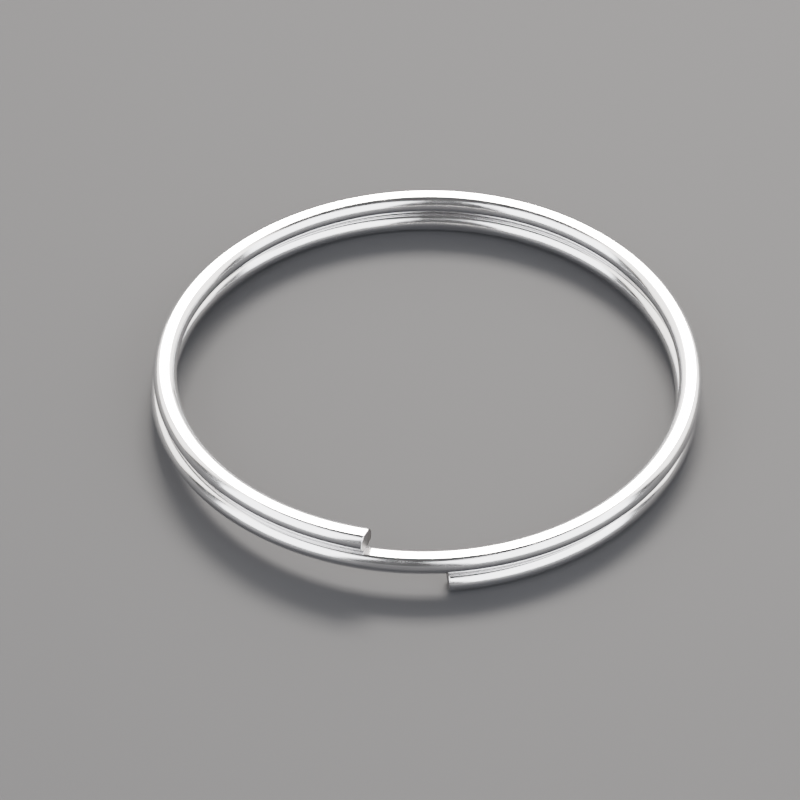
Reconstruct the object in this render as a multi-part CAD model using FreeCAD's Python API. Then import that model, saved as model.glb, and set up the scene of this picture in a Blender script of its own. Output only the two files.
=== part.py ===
import FreeCAD, Part
import math
import os

# Split key ring: one spring wire, rolled to flat top and bottom faces, coiled
# into two turns that lie on each other. The wire is divided, at plane faces
# square to it, into named stretches so that it can be opened like the real one.
# Units are millimetres. +Z is up, -Y is the front, where both wire ends are.

# --- driving dimensions -----------------------------------------------------
OUTER_DIAMETER = 32.0     # over one turn of wire
WIRE_WIDTH = 1.36         # across the rounded flanks
WIRE_HEIGHT = 1.18        # between the rolled flats
FLAT_WIDTH = 0.62         # of each rolled flat
TURN_GAP = 0.03           # between the two turns
SHIFT_RIGHT = 0.19        # how far the upper turn sits to the right of the lower
SHIFT_BACK = 0.22         # and behind it
LOWER_END_AZ = 4.90       # azimuth of the lower wire end, degrees from the front
UPPER_END_AZ = 706.3      # azimuth of the upper wire end (one turn, then 346.3)
LOWER_END_SLANT = 3.0     # how far each cut is off square, degrees
UPPER_END_SLANT = 12.0
LEVEL_SPAN = 175.10       # length of each turn that lies level before it climbs

MEAN_RADIUS = (OUTER_DIAMETER - WIRE_WIDTH) / 2
PITCH = WIRE_HEIGHT + TURN_GAP
MIDDLE = (LOWER_END_AZ + UPPER_END_AZ) / 2
SECOND_TURN_AZ = LOWER_END_AZ + 360.0

# The stretches in order along the wire, each with the azimuth where it ends.
STRETCHES = [
    ("lower_end_arc", 90.0),
    ("lower_right_back_arc", 180.0),
    ("lower_left_back_arc", 270.0),
    ("front_crossover_arc", 450.0),
    ("upper_right_back_arc", 540.0),
    ("upper_left_back_arc", 630.0),
    ("upper_end_arc", UPPER_END_AZ),
]


def climb(path_angle):
    """Height of the wire's underside. Each turn lies level, then climbs one
    pitch on to the top of the turn before it."""
    path_angle = max(0.0, path_angle)
    turn = math.floor(path_angle / 360.0)
    x = (path_angle - 360.0 * turn - LEVEL_SPAN) / (360.0 - LEVEL_SPAN)
    x = min(1.0, max(0.0, x))
    return PITCH * (turn + x * x * x * (10 - 15 * x + 6 * x * x))


def centreline(az):
    a = math.radians(az)
    part_way = (az - MIDDLE) / 360.0
    return FreeCAD.Vector(
        MEAN_RADIUS * math.sin(a) + SHIFT_RIGHT * part_way,
        -MEAN_RADIUS * math.cos(a) + SHIFT_BACK * part_way,
        climb(az - LOWER_END_AZ) + WIRE_HEIGHT / 2,
    )


def tangent(az):
    step = 0.01
    t = centreline(az + step) - centreline(az - step)
    t.normalize()
    return t


def section(az, spare=0.0):
    """The rolled wire's outline, standing square to the centreline: two flats
    joined by two rounded flanks. spare carries the flanks on past the flats."""
    t = tangent(az)
    level = FreeCAD.Vector(t.x, t.y, 0)
    level.normalize()
    out = level.cross(FreeCAD.Vector(0, 0, 1))
    c = centreline(az)

    def at(u, v):
        return c + out * u + FreeCAD.Vector(0, 0, v)

    f, h, w = FLAT_WIDTH / 2, WIRE_HEIGHT / 2, WIRE_WIDTH / 2
    bulge = ((w - f) ** 2 + h ** 2) / (2 * (w - f))
    h += spare
    f = w - bulge + math.sqrt(bulge ** 2 - h ** 2)
    edges = [
        Part.makeLine(at(-f, h), at(f, h)),
        Part.Arc(at(f, h), at(w, 0), at(f, -h)).toShape(),
        Part.makeLine(at(f, -h), at(-f, -h)),
        Part.Arc(at(-f, -h), at(-w, 0), at(-f, h)).toShape(),
    ]
    return Part.Wire(edges)


def stretch(az0, az1):
    """The wire from one azimuth to the next. Where it lies level, its flats are
    planes."""
    low, high = climb(az0 - LOWER_END_AZ), climb(az1 - LOWER_END_AZ)
    level = high - low < 1e-6
    spare = 0.04 if level else 0.0
    count = max(8, int(round((az1 - az0) / 2.5)))
    points = [centreline(az0 + (az1 - az0) * i / count) for i in range(count + 1)]
    path = Part.BSplineCurve()
    path.interpolate(
        Points=points, InitialTangent=tangent(az0), FinalTangent=tangent(az1)
    )
    sweep = Part.BRepOffsetAPI.MakePipeShell(Part.Wire([path.toShape()]))
    sweep.setBiNormalMode(FreeCAD.Vector(0, 0, 1))
    sweep.add(section(az0, spare))
    sweep.build()
    sweep.makeSolid()
    solid = sweep.shape()
    if level:
        slab = Part.makeBox(60.0, 60.0, WIRE_HEIGHT, FreeCAD.Vector(-30, -30, low))
        solid = solid.common(slab)
    if solid.Volume < 0:
        solid.reverse()
    return solid


def cut_end(solid, az, slant, keep):
    """Shears a wire end off. The cut stands upright and is slant degrees off
    square, with the outer flank the shorter. keep is +1 to keep what lies
    beyond az, and -1 to keep what lies before it."""
    t = tangent(az)
    level = FreeCAD.Vector(t.x, t.y, 0)
    level.normalize()
    out = level.cross(FreeCAD.Vector(0, 0, 1))
    s = math.radians(slant)
    along = out * math.cos(s) + level * (keep * math.sin(s))
    away = FreeCAD.Vector(0, 0, 1).cross(along)
    if away.dot(level) * keep > 0:
        away = away * -1
    corner = centreline(az) - along * 2.0 - FreeCAD.Vector(0, 0, 2.0)
    corners = [corner, corner + along * 4.0, corner + along * 4.0 + away * 4.0,
               corner + away * 4.0, corner]
    block = Part.Face(Part.makePolygon(corners)).extrude(FreeCAD.Vector(0, 0, 4.0))
    return solid.cut(block)


solids = {}
start = LOWER_END_AZ
for name, end in STRETCHES:
    if name == "lower_end_arc":
        raw = stretch(start - 3.0, end)
        solids[name] = cut_end(raw, start, LOWER_END_SLANT, +1)
    elif name == "upper_end_arc":
        raw = stretch(start, end + 3.0)
        solids[name] = cut_end(raw, end, UPPER_END_SLANT, -1)
    elif start < SECOND_TURN_AZ < end:
        # the climb up over the lower end, and the level start of the second turn
        rise = stretch(start, SECOND_TURN_AZ)
        solids[name] = rise.fuse(stretch(SECOND_TURN_AZ, end))
    else:
        solids[name] = stretch(start, end)
    start = end

# The origin is under the middle of the ring, on the surface it lies on.
box = FreeCAD.BoundBox()
for solid in solids.values():
    box.add(solid.optimalBoundingBox(False, False))
shift = FreeCAD.Vector(-box.Center.x, -box.Center.y, -box.ZMin)

os.makedirs("parts", exist_ok=True)
for name, solid in solids.items():
    solid.translate(shift)
    found = solid.Solids
    if len(found) == 1:
        solid = found[0]
    print(
        name,
        "valid", solid.isValid(),
        "volume", round(solid.Volume, 4),
        "solids", len(found),
        "box", [round(v, 3) for v in (
            solid.BoundBox.XMin, solid.BoundBox.YMin, solid.BoundBox.ZMin,
            solid.BoundBox.XMax, solid.BoundBox.YMax, solid.BoundBox.ZMax)],
    )
    solid.exportStep("parts/" + name + ".step")

print("shift", shift.x, shift.y, shift.z)
print("overall", box.XLength, box.YLength, box.ZLength)
start = LOWER_END_AZ
for name, end in STRETCHES[:-1]:
    c, t = centreline(end) + shift, tangent(end)
    n = math.hypot(t.x, t.y)
    print("station", name, end, round(c.x, 5), round(c.y, 5), round(c.z, 5),
          round(t.x / n, 6), round(t.y / n, 6))
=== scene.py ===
import math
import random

import bpy
import numpy as np
from mathutils import Matrix, Vector


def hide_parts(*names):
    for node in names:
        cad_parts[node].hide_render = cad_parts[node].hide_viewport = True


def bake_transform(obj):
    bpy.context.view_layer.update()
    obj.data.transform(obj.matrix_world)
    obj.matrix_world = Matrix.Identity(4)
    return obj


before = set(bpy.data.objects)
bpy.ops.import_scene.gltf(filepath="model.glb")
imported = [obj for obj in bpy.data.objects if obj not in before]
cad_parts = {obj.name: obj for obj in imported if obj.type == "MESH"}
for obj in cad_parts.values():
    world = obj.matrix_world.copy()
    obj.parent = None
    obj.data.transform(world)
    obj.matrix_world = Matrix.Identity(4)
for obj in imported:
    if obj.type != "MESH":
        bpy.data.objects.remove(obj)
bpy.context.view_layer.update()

random.seed(7)
RNG = np.random.default_rng(7)
MM = 0.001

# ---------------------------------------------------------------------------
# The wire. These are the CAD model's own dimensions, in millimetres.
# ---------------------------------------------------------------------------
WIDTH, HEIGHT, FLAT = 1.36, 1.18, 0.62
RADIUS = (32.0 - WIDTH) / 2
PITCH = HEIGHT + 0.03
SHIFT_RIGHT, SHIFT_BACK = 0.19, 0.22
END_A, END_B = 4.90, 706.3
SLANT_A, SLANT_B = 3.0, 12.0
LEVEL = 175.10
MIDDLE = (END_A + END_B) / 2
ORIGIN = np.array([-0.002267, 0.020763, 0.0])
EASE = 0.13               # small radius where a flat meets a flank
TUCK = 0.004              # the visual skin stays this far inside the CAD solid

STATIONS = [90.0, 180.0, 270.0, 450.0, 540.0, 630.0]
BODIES = ["lower_end_arc", "lower_right_back_arc", "lower_left_back_arc",
          "front_crossover_arc", "upper_right_back_arc",
          "upper_left_back_arc", "upper_end_arc"]


def climb(p):
    p = np.maximum(0.0, p)
    turn = np.floor(p / 360.0)
    x = np.clip((p - 360.0 * turn - LEVEL) / (360.0 - LEVEL), 0.0, 1.0)
    return PITCH * (turn + x ** 3 * (10 - 15 * x + 6 * x * x))


def centre(az):
    az = np.asarray(az, float)
    a = np.radians(az)
    k = (az - MIDDLE) / 360.0
    return np.stack([RADIUS * np.sin(a) + SHIFT_RIGHT * k,
                     -RADIUS * np.cos(a) + SHIFT_BACK * k,
                     climb(az - END_A) + HEIGHT / 2], -1) + ORIGIN


def frame_at(az):
    """Point, direction along the wire, and level direction out of the ring."""
    t = centre(np.asarray(az) + 0.01) - centre(np.asarray(az) - 0.01)
    t /= np.linalg.norm(t, axis=-1, keepdims=True)
    flat = t * np.array([1.0, 1.0, 0.0])
    flat /= np.linalg.norm(flat, axis=-1, keepdims=True)
    out = np.stack([flat[..., 1], -flat[..., 0], np.zeros_like(flat[..., 0])], -1)
    return centre(az), t, out


def outline():
    """The rolled section: (u out of the ring, v up, normal), once round."""
    w, h, f = WIDTH / 2 - TUCK, HEIGHT / 2 - TUCK, FLAT / 2
    bulge = ((w - f) ** 2 + h ** 2) / (2 * (w - f))
    cx = w - bulge
    xf = cx + math.sqrt((bulge - EASE) ** 2 - (h - EASE) ** 2)
    top = math.atan2(h - EASE, xf - cx)
    pts = []
    for b in np.linspace(-top, top, 25):
        pts.append((cx + bulge * math.cos(b), bulge * math.sin(b), math.cos(b), math.sin(b)))
    for b in np.linspace(top, math.pi / 2, 9)[1:]:
        pts.append((xf + EASE * math.cos(b), h - EASE + EASE * math.sin(b), math.cos(b), math.sin(b)))
    for x in np.linspace(xf, -xf, 8)[1:-1]:
        pts.append((x, h, 0.0, 1.0))
    right = list(pts)
    half = len(right)
    # left flank and underside, by turning the right half through 180 degrees
    return np.array(right + [(-u, -v, -nu, -nv) for u, v, nu, nv in right])


OUT = outline()
COUNT = len(OUT)


def wire(name, az0, az1, step=0.5):
    """A closed length of the wire. A wire end gets a sheared face with a rolled
    edge on the side where the blade went in and a small burr on the other."""
    u, v, nu, nv = OUT.T
    ends = (az0 <= END_A + 1e-6, az1 >= END_B - 1e-6)
    rings, normals, along = [], [], []
    deg = 180.0 / (math.pi * RADIUS)          # degrees of turn per millimetre

    def end_az(side, u_, v_, back):
        """Azimuth of the sheared face at a point of the section, less back mm."""
        if side == 0:
            lean = u_ * math.tan(math.radians(SLANT_A))
            return END_A + (lean + back) * deg
        lean = u_ * math.tan(math.radians(SLANT_B))
        return END_B - (lean + back) * deg

    def ring(az, scale_u=None, scale_v=None, n_along=None):
        c, t, o = frame_at(az)
        uu = u if scale_u is None else scale_u
        vv = v if scale_v is None else scale_v
        p = c + o * uu[:, None] + np.array([0, 0, 1.0]) * vv[:, None]
        n = o * nu[:, None] + np.array([0, 0, 1.0]) * nv[:, None]
        # the section stands upright, so its normal leans with the wire's climb
        n = n - t * (n * t).sum(-1, keepdims=True)
        if n_along is not None:
            n = n * math.sqrt(max(0.0, 1 - n_along ** 2)) + t * n_along
        n /= np.linalg.norm(n, axis=-1, keepdims=True)
        rings.append(p)
        normals.append(n)
        along.append(np.full(COUNT, float(np.mean(az))))

    ROLL = 0.055                               # edge radius of the sheared end

    def worn(side, depth):
        """Section offsets for a ring depth mm from the sheared face."""
        # blade side: larger roll-over; far side: crisp with a small burr
        blade = v > 0 if side == 1 else v < 0
        r = np.where(nv > 0.3, ROLL * 1.5, np.where(nv < -0.3, ROLL * 0.45, ROLL))
        if side == 0:
            r = np.where(nv > 0.3, ROLL * 0.5, np.where(nv < -0.3, ROLL * 1.2, ROLL))
        x = np.clip(1 - depth / r, 0, 1)
        inset = r * (1 - np.sqrt(np.clip(1 - x * x, 0, 1)))
        return u - nu * inset, v - nv * inset

    steps = max(4, int(round((az1 - az0) / step)))
    depths = [0.0, 0.003, 0.01, 0.02, 0.034, 0.05, 0.075, 0.11, 0.16]
    if ends[0]:
        for k, d in enumerate(depths):
            su, sv = worn(0, d)
            ring(end_az(0, su, sv, d), su, sv, -max(0.0, 0.9 - d / 0.05) if d < 0.05 else None)
        first = END_A + 0.25 * deg
        grid = np.linspace(first + 0.02, az1, steps)
        base = grid
        for i, a in enumerate(base):
            fade = max(0.0, 1 - (a - first) / 4.0)
            lean = u * math.tan(math.radians(SLANT_A)) * deg * fade
            ring(a + lean)
    elif ends[1]:
        last = END_B - 0.25 * deg
        for a in np.linspace(az0, last - 0.02, steps):
            fade = max(0.0, 1 - (last - a) / 4.0)
            lean = -u * math.tan(math.radians(SLANT_B)) * deg * fade
            ring(a + lean)
        for d in reversed(depths):
            su, sv = worn(1, d)
            ring(end_az(1, su, sv, d), su, sv, max(0.0, 0.9 - d / 0.05) if d < 0.05 else None)
    else:
        for a in np.linspace(az0, az1, steps + 1):
            ring(np.full(COUNT, a))

    verts = np.concatenate(rings)
    norms = np.concatenate(normals)
    azs = np.concatenate(along)
    n_rings = len(rings)
    faces, loop_n = [], []
    for i in range(n_rings - 1):
        for j in range(COUNT):
            k = (j + 1) % COUNT
            a, b = i * COUNT + j, i * COUNT + k
            c, d = (i + 1) * COUNT + k, (i + 1) * COUNT + j
            faces.append((a, d, c, b))
            loop_n += [norms[a], norms[d], norms[c], norms[b]]
    # end faces: rings drawn in towards the middle, so that they can be uneven
    extra, extra_uv = [], []
    for side in (0, 1):
        i0 = 0 if side == 0 else (n_rings - 1) * COUNT
        rim = rings[0] if side == 0 else rings[-1]
        mid = rim.mean(0)
        az_end = float(np.mean(along[0] if side == 0 else along[-1]))
        _, t, _ = frame_at(az_end)
        face_n = np.cross(rim[COUNT // 4] - mid, rim[COUNT // 2] - mid)
        face_n /= np.linalg.norm(face_n)
        if (face_n @ t > 0) != (side == 1):
            face_n = -face_n
        base = len(verts) + len(extra)
        shells = [0.86, 0.66, 0.44, 0.22]
        real = ends[side]
        for s in shells:
            p = mid + (rim - mid) * s
            if real:
                # burnished where the blade entered, torn and slightly proud beyond
                q = v * s
                band = np.clip((0.12 - q) / 0.5, 0, 1) if side == 1 else np.clip((q + 0.12) / 0.5, 0, 1)
                bump = 0.012 * band * np.sin(9.0 * u * s + 3.0 * q) - 0.010 * (1 - s)
                p = p + face_n * (bump[:, None] - 0.004)
            extra += list(p)
        extra.append(mid - face_n * (0.012 if real else 0.0))
        idx = [i0 + np.arange(COUNT)] + [base + q * COUNT + np.arange(COUNT) for q in range(len(shells))]
        for q in range(len(shells)):
            for j in range(COUNT):
                k = (j + 1) % COUNT
                a, b, c, d = int(idx[q][j]), int(idx[q][k]), int(idx[q + 1][k]), int(idx[q + 1][j])
                faces.append((a, b, c, d) if side == 0 else (a, d, c, b))
                loop_n += [face_n] * 4
        tip = base + len(shells) * COUNT
        for j in range(COUNT):
            k = (j + 1) % COUNT
            a, b = int(idx[-1][j]), int(idx[-1][k])
            faces.append((a, b, tip) if side == 0 else (a, tip, b))
            loop_n += [face_n] * 3
        azs = np.concatenate([azs, np.full(len(shells) * COUNT + 1, az_end)])
        extra_uv += [side] * (len(shells) * COUNT + 1)
    verts = np.concatenate([verts, np.array(extra)]) * MM

    me = bpy.data.meshes.new(name)
    me.from_pydata([tuple(p) for p in verts], [], faces)
    me.polygons.foreach_set("use_smooth", [True] * len(me.polygons))
    # lengths along and round the wire, in millimetres, for the drawing marks
    girth = np.concatenate([[0], np.cumsum(np.hypot(np.diff(OUT[:, 0]), np.diff(OUT[:, 1])))])
    n_side = n_rings * COUNT
    g = np.concatenate([np.tile(girth, n_rings), np.zeros(len(verts) - n_side)])
    s_mm = np.radians(azs) * RADIUS
    at = me.attributes.new("lay", "FLOAT_VECTOR", "POINT")
    cap = np.concatenate([np.zeros(n_side), np.ones(len(verts) - n_side)])
    # round the wire as a circle, so that there is no seam where it closes
    ang = 2 * math.pi * g / (girth[-1] + 0.05)
    lay = np.stack([s_mm, np.cos(ang) * 0.6, np.sin(ang) * 0.6], -1)
    at.data.foreach_set("vector", lay.astype(np.float32).ravel())
    me.validate(clean_customdata=False)
    me.normals_split_custom_set([tuple(n) for n in loop_n])
    me.update()
    ob = bpy.data.objects.new(name, me)
    bpy.context.scene.collection.objects.link(ob)
    me.materials.append(STEEL)
    if ends[0] or ends[1]:
        me.materials.append(CUT)
        side_faces = (n_rings - 1) * COUNT
        per_cap = len([0.86, 0.66, 0.44, 0.22]) * COUNT + COUNT
        mats = np.zeros(len(me.polygons), np.int32)
        if ends[0]:
            mats[side_faces:side_faces + per_cap] = 1
        if ends[1]:
            mats[side_faces + per_cap:] = 1
        me.polygons.foreach_set("material_index", mats)
    return ob


# ---------------------------------------------------------------------------
# Materials
# ---------------------------------------------------------------------------
def node(nt, kind, **inputs):
    n = nt.nodes.new(kind)
    for k, val in inputs.items():
        n.inputs[k.replace("_", " ")].default_value = val
    return n


def bright_steel():
    """Bright drawn spring steel: a near-mirror with fine marks along the wire."""
    m = bpy.data.materials.new("bright_drawn_steel")
    m.use_nodes = True
    nt = m.node_tree
    bsdf = nt.nodes["Principled BSDF"]
    bsdf.inputs["Base Color"].default_value = (0.79, 0.785, 0.79, 1)
    bsdf.inputs["Metallic"].default_value = 1.0
    lay = nt.nodes.new("ShaderNodeAttribute")
    lay.attribute_name = "lay"
    # drawing lines: long along the wire, very fine round it
    stretch = nt.nodes.new("ShaderNodeMapping")
    stretch.inputs["Scale"].default_value = (0.05, 9.0, 9.0)
    nt.links.new(lay.outputs["Vector"], stretch.inputs["Vector"])
    lines = node(nt, "ShaderNodeTexNoise", Scale=2.2, Detail=4.0, Roughness=0.6)
    nt.links.new(stretch.outputs["Vector"], lines.inputs["Vector"])
    # slow unevenness of the tumbled finish
    soft = nt.nodes.new("ShaderNodeMapping")
    soft.inputs["Scale"].default_value = (0.5, 2.0, 2.0)
    nt.links.new(lay.outputs["Vector"], soft.inputs["Vector"])
    haze = node(nt, "ShaderNodeTexNoise", Scale=1.6, Detail=3.0, Roughness=0.5)
    nt.links.new(soft.outputs["Vector"], haze.inputs["Vector"])
    rough = nt.nodes.new("ShaderNodeMapRange")
    rough.inputs["From Min"].default_value = 0.3
    rough.inputs["From Max"].default_value = 0.7
    rough.inputs["To Min"].default_value = 0.12
    rough.inputs["To Max"].default_value = 0.19
    nt.links.new(haze.outputs["Fac"], rough.inputs["Value"])
    nt.links.new(rough.outputs["Result"], bsdf.inputs["Roughness"])
    bump = nt.nodes.new("ShaderNodeBump")
    bump.inputs["Strength"].default_value = 0.25
    bump.inputs["Distance"].default_value = 0.000004
    nt.links.new(lines.outputs["Fac"], bump.inputs["Height"])
    nt.links.new(bump.outputs["Normal"], bsdf.inputs["Normal"])
    return m


def sheared_steel():
    """The cut face: duller, grey and torn."""
    m = bpy.data.materials.new("sheared_steel")
    m.use_nodes = True
    nt = m.node_tree
    bsdf = nt.nodes["Principled BSDF"]
    bsdf.inputs["Base Color"].default_value = (0.27, 0.26, 0.26, 1)
    bsdf.inputs["Metallic"].default_value = 1.0
    coord = nt.nodes.new("ShaderNodeTexCoord")
    grain = node(nt, "ShaderNodeTexNoise", Scale=9000.0, Detail=4.0, Roughness=0.7)
    nt.links.new(coord.outputs["Object"], grain.inputs["Vector"])
    rough = nt.nodes.new("ShaderNodeMapRange")
    rough.inputs["To Min"].default_value = 0.25
    rough.inputs["To Max"].default_value = 0.5
    nt.links.new(grain.outputs["Fac"], rough.inputs["Value"])
    nt.links.new(rough.outputs["Result"], bsdf.inputs["Roughness"])
    bump = nt.nodes.new("ShaderNodeBump")
    bump.inputs["Strength"].default_value = 0.5
    bump.inputs["Distance"].default_value = 0.00002
    nt.links.new(grain.outputs["Fac"], bump.inputs["Height"])
    nt.links.new(bump.outputs["Normal"], bsdf.inputs["Normal"])
    return m


STEEL = bright_steel()
CUT = sheared_steel()

# ---------------------------------------------------------------------------
# The wire as six lengths. Each runs from the middle of one stretch to the
# middle of the next, in one smooth piece across the joint between them.
# ---------------------------------------------------------------------------
NAMES = ["wire_lower_end", "wire_lower_back", "wire_lower_left",
         "wire_upper_right", "wire_upper_back", "wire_upper_end"]
starts = [END_A] + STATIONS
stops = STATIONS + [END_B]
mids = [(a + b) / 2 for a, b in zip(starts, stops)]
for i, name in enumerate(NAMES):
    a = END_A if i == 0 else mids[i]
    b = END_B if i == len(NAMES) - 1 else mids[i + 1]
    piece = wire(name, a, b)
    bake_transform(piece)
    if i == len(NAMES) - 1:
        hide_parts(BODIES[i], BODIES[i + 1])
    else:
        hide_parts(BODIES[i])

# ---------------------------------------------------------------------------
# Floor, light and camera
# ---------------------------------------------------------------------------
floor_mesh = bpy.data.meshes.new("floor")
S = 0.9
floor_mesh.from_pydata([(-S, -S, 0), (S, -S, 0), (S, S, 0), (-S, S, 0)], [], [(0, 1, 2, 3)])
floor = bpy.data.objects.new("floor", floor_mesh)
bpy.context.scene.collection.objects.link(floor)
fm = bpy.data.materials.new("floor_pale")
fm.use_nodes = True
fb = fm.node_tree.nodes["Principled BSDF"]
fb.inputs["Base Color"].default_value = (0.0400, 0.0405, 0.0435, 1)
fb.inputs["Roughness"].default_value = 0.5
fb.inputs["Specular IOR Level"].default_value = 0.1
floor_mesh.materials.append(fm)

world = bpy.context.scene.world or bpy.data.worlds.new("world")
bpy.context.scene.world = world
world.use_nodes = True
bg = world.node_tree.nodes["Background"]
bg.inputs["Color"].default_value = (1.0, 0.985, 1.0, 1)
# a pale horizon under a darker room
wt = world.node_tree
wc = wt.nodes.new("ShaderNodeTexCoord")
ws = wt.nodes.new("ShaderNodeSeparateXYZ")
wr = wt.nodes.new("ShaderNodeMapRange")
wt.links.new(wc.outputs["Generated"], ws.inputs["Vector"])
wt.links.new(ws.outputs["Z"], wr.inputs["Value"])
wr.inputs["From Min"].default_value = 0.02
wr.inputs["From Max"].default_value = 0.14
wr.inputs["To Min"].default_value = 0.42
wr.inputs["To Max"].default_value = 0.12
wt.links.new(wr.outputs["Result"], bg.inputs["Strength"])


def panel(name, azimuth, elevation, width, height, radiance, colour, distance=0.75):
    """A soft box facing the object. Azimuth 0 is behind it, +X is 90."""
    a, e = math.radians(azimuth), math.radians(elevation)
    d = Vector((math.sin(a) * math.cos(e), math.cos(a) * math.cos(e), math.sin(e)))
    light = bpy.data.lights.new(name, "AREA")
    light.shape = "RECTANGLE"
    light.size = 2 * distance * math.tan(math.radians(width / 2))
    light.size_y = 2 * distance * math.tan(math.radians(height / 2))
    light.energy = radiance * math.pi * light.size * light.size_y
    light.color = colour
    ob = bpy.data.objects.new(name, light)
    ob.location = d * distance
    ob.rotation_mode = "QUATERNION"
    ob.rotation_quaternion = (-d).to_track_quat("-Z", "Y")
    ob.visible_camera = False
    bpy.context.scene.collection.objects.link(ob)
    return ob


COOL = (0.97, 0.98, 1.0)
WARM = (1.0, 0.965, 0.92)
KEY = (1.0, 0.945, 0.875)
panel("soft_left_front", -122, 26, 52, 60, 6.5, COOL)
panel("soft_right_front", 133, 26, 66, 60, 6.5, COOL)
panel("soft_back_left", -52, 32, 50, 54, 4.2, WARM)
panel("soft_back", 0, 38, 56, 50, 4.0, WARM)
panel("key_back", 8, 43.5, 26, 14, 80.0, KEY, 0.9)
panel("soft_back_right", 56, 32, 54, 54, 4.6, WARM)


# the picture: 370 mm away, 43 degrees above the floor, a long lens
cam_data = bpy.data.cameras.new("camera")
cam = bpy.data.objects.new("camera", cam_data)
bpy.context.scene.collection.objects.link(cam)
ELEV, DIST, ROLL_DEG = 43.217, 0.3658, -0.485
FOCAL_PX, ORIGIN_X, ORIGIN_Y = 6269.7, 426.5, 399.7
e = math.radians(ELEV)
back = Vector((0, -math.cos(e), math.sin(e)))
cam.location = back * DIST
cam.rotation_mode = "QUATERNION"
cam.rotation_quaternion = (-back).to_track_quat("-Z", "Y") @ Matrix.Rotation(
    math.radians(ROLL_DEG), 4, "Z").to_quaternion()
cam_data.sensor_width = 36.0
cam_data.lens = FOCAL_PX / 800.0 * 36.0
cam_data.shift_x = -(ORIGIN_X - 400.0) / 800.0
cam_data.shift_y = (ORIGIN_Y - 400.0) / 800.0
cam_data.clip_start, cam_data.clip_end = 0.01, 50.0
bpy.context.scene.camera = cam
